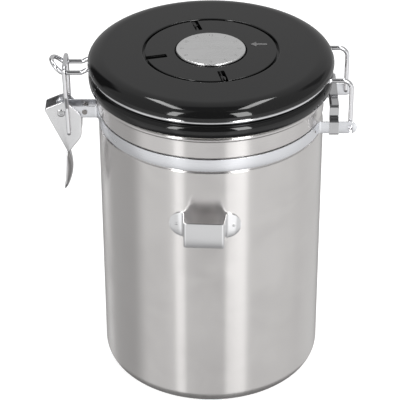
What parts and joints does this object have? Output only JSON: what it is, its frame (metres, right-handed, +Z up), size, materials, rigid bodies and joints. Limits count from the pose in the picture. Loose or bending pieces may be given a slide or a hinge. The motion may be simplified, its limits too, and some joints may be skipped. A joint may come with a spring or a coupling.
{
  "type": "coffee canister",
  "caption": "Round steel coffee canister with a wire-clamped black lid, lever latch, date dial, one-way gas valve and a scoop hook on the wall.",
  "frame": {"origin": "centre of the flat base", "axes": "+Z up through the lid, latch at -X, hinge at +X, scoop hook at -Y"},
  "size_m": [0.1704, 0.1404, 0.1961],
  "materials": {
    "steel_body": "fine vertical satin with a soft gloss",
    "steel_strip": "polished pressed strip",
    "steel_wire": "bright drawn wire",
    "lid_plastic": "gloss black",
    "seal_silicone": "soft matt",
    "dial_metal": "radially brushed with a bright bevel",
    "print_grey": "thin raised print",
    "filter_felt": "felt"
  },
  "bodies": {
    "body": {"canister_shell": "steel_body", "scoop_hook": "steel_strip", "strap_front": "steel_strip", "strap_rear": "steel_strip", "strap_rivet": "steel_strip", "hinge_tie_strip": "steel_strip", "latch_pivot_rivet": "steel_strip"},
    "lever": {"latch_lever": "steel_strip"},
    "link": {"latch_link": "steel_wire"},
    "lid": {"lid_top_shell": "lid_plastic", "lid_base": "lid_plastic", "lid_gasket": "seal_silicone", "lid_wire": "steel_wire", "dial_cover_ring": "lid_plastic", "arrow_marker": "print_grey", "dial_carrier": "lid_plastic", "detent_spring": "steel_strip", "valve_housing": "lid_plastic", "valve_cap": "lid_plastic", "valve_filter": "filter_felt"},
    "dial": {"date_dial": "dial_metal", "dial_hub": "lid_plastic", "dial_retaining_clip": "steel_strip"},
    "valve": {"valve_disc": "seal_silicone"}
  },
  "joints": [
    {"name": "lid_hinge", "type": "hinge", "parent": "body", "child": "lid", "pos_m": [0.0756, 0, 0.159], "axis": [0, 1, 0], "range_deg": [0, 190]},
    {"name": "lever_hinge", "type": "hinge", "parent": "body", "child": "lever", "pos_m": [-0.0824, 0, 0.159], "axis": [0, 1, 0], "range_deg": [0, 140]},
    {"name": "link_hinge", "type": "hinge", "parent": "lever", "child": "link", "pos_m": [-0.0784, 0, 0.1468], "axis": [0, 1, 0], "range_deg": [-99, 1]},
    {"name": "dial_turn", "type": "hinge", "parent": "lid", "child": "dial", "pos_m": [0, 0, 0.19], "axis": [0, 0, 1], "continuous": true},
    {"name": "valve_lift", "type": "slide", "parent": "lid", "child": "valve", "axis": [0, 0, 1], "range_m": [0, 0.0006], "stiffness_N_per_m": 20}
  ],
  "couplings": [
    {"joint": "link_hinge", "follows": "lever_hinge", "ratio": -0.7}
  ]
}
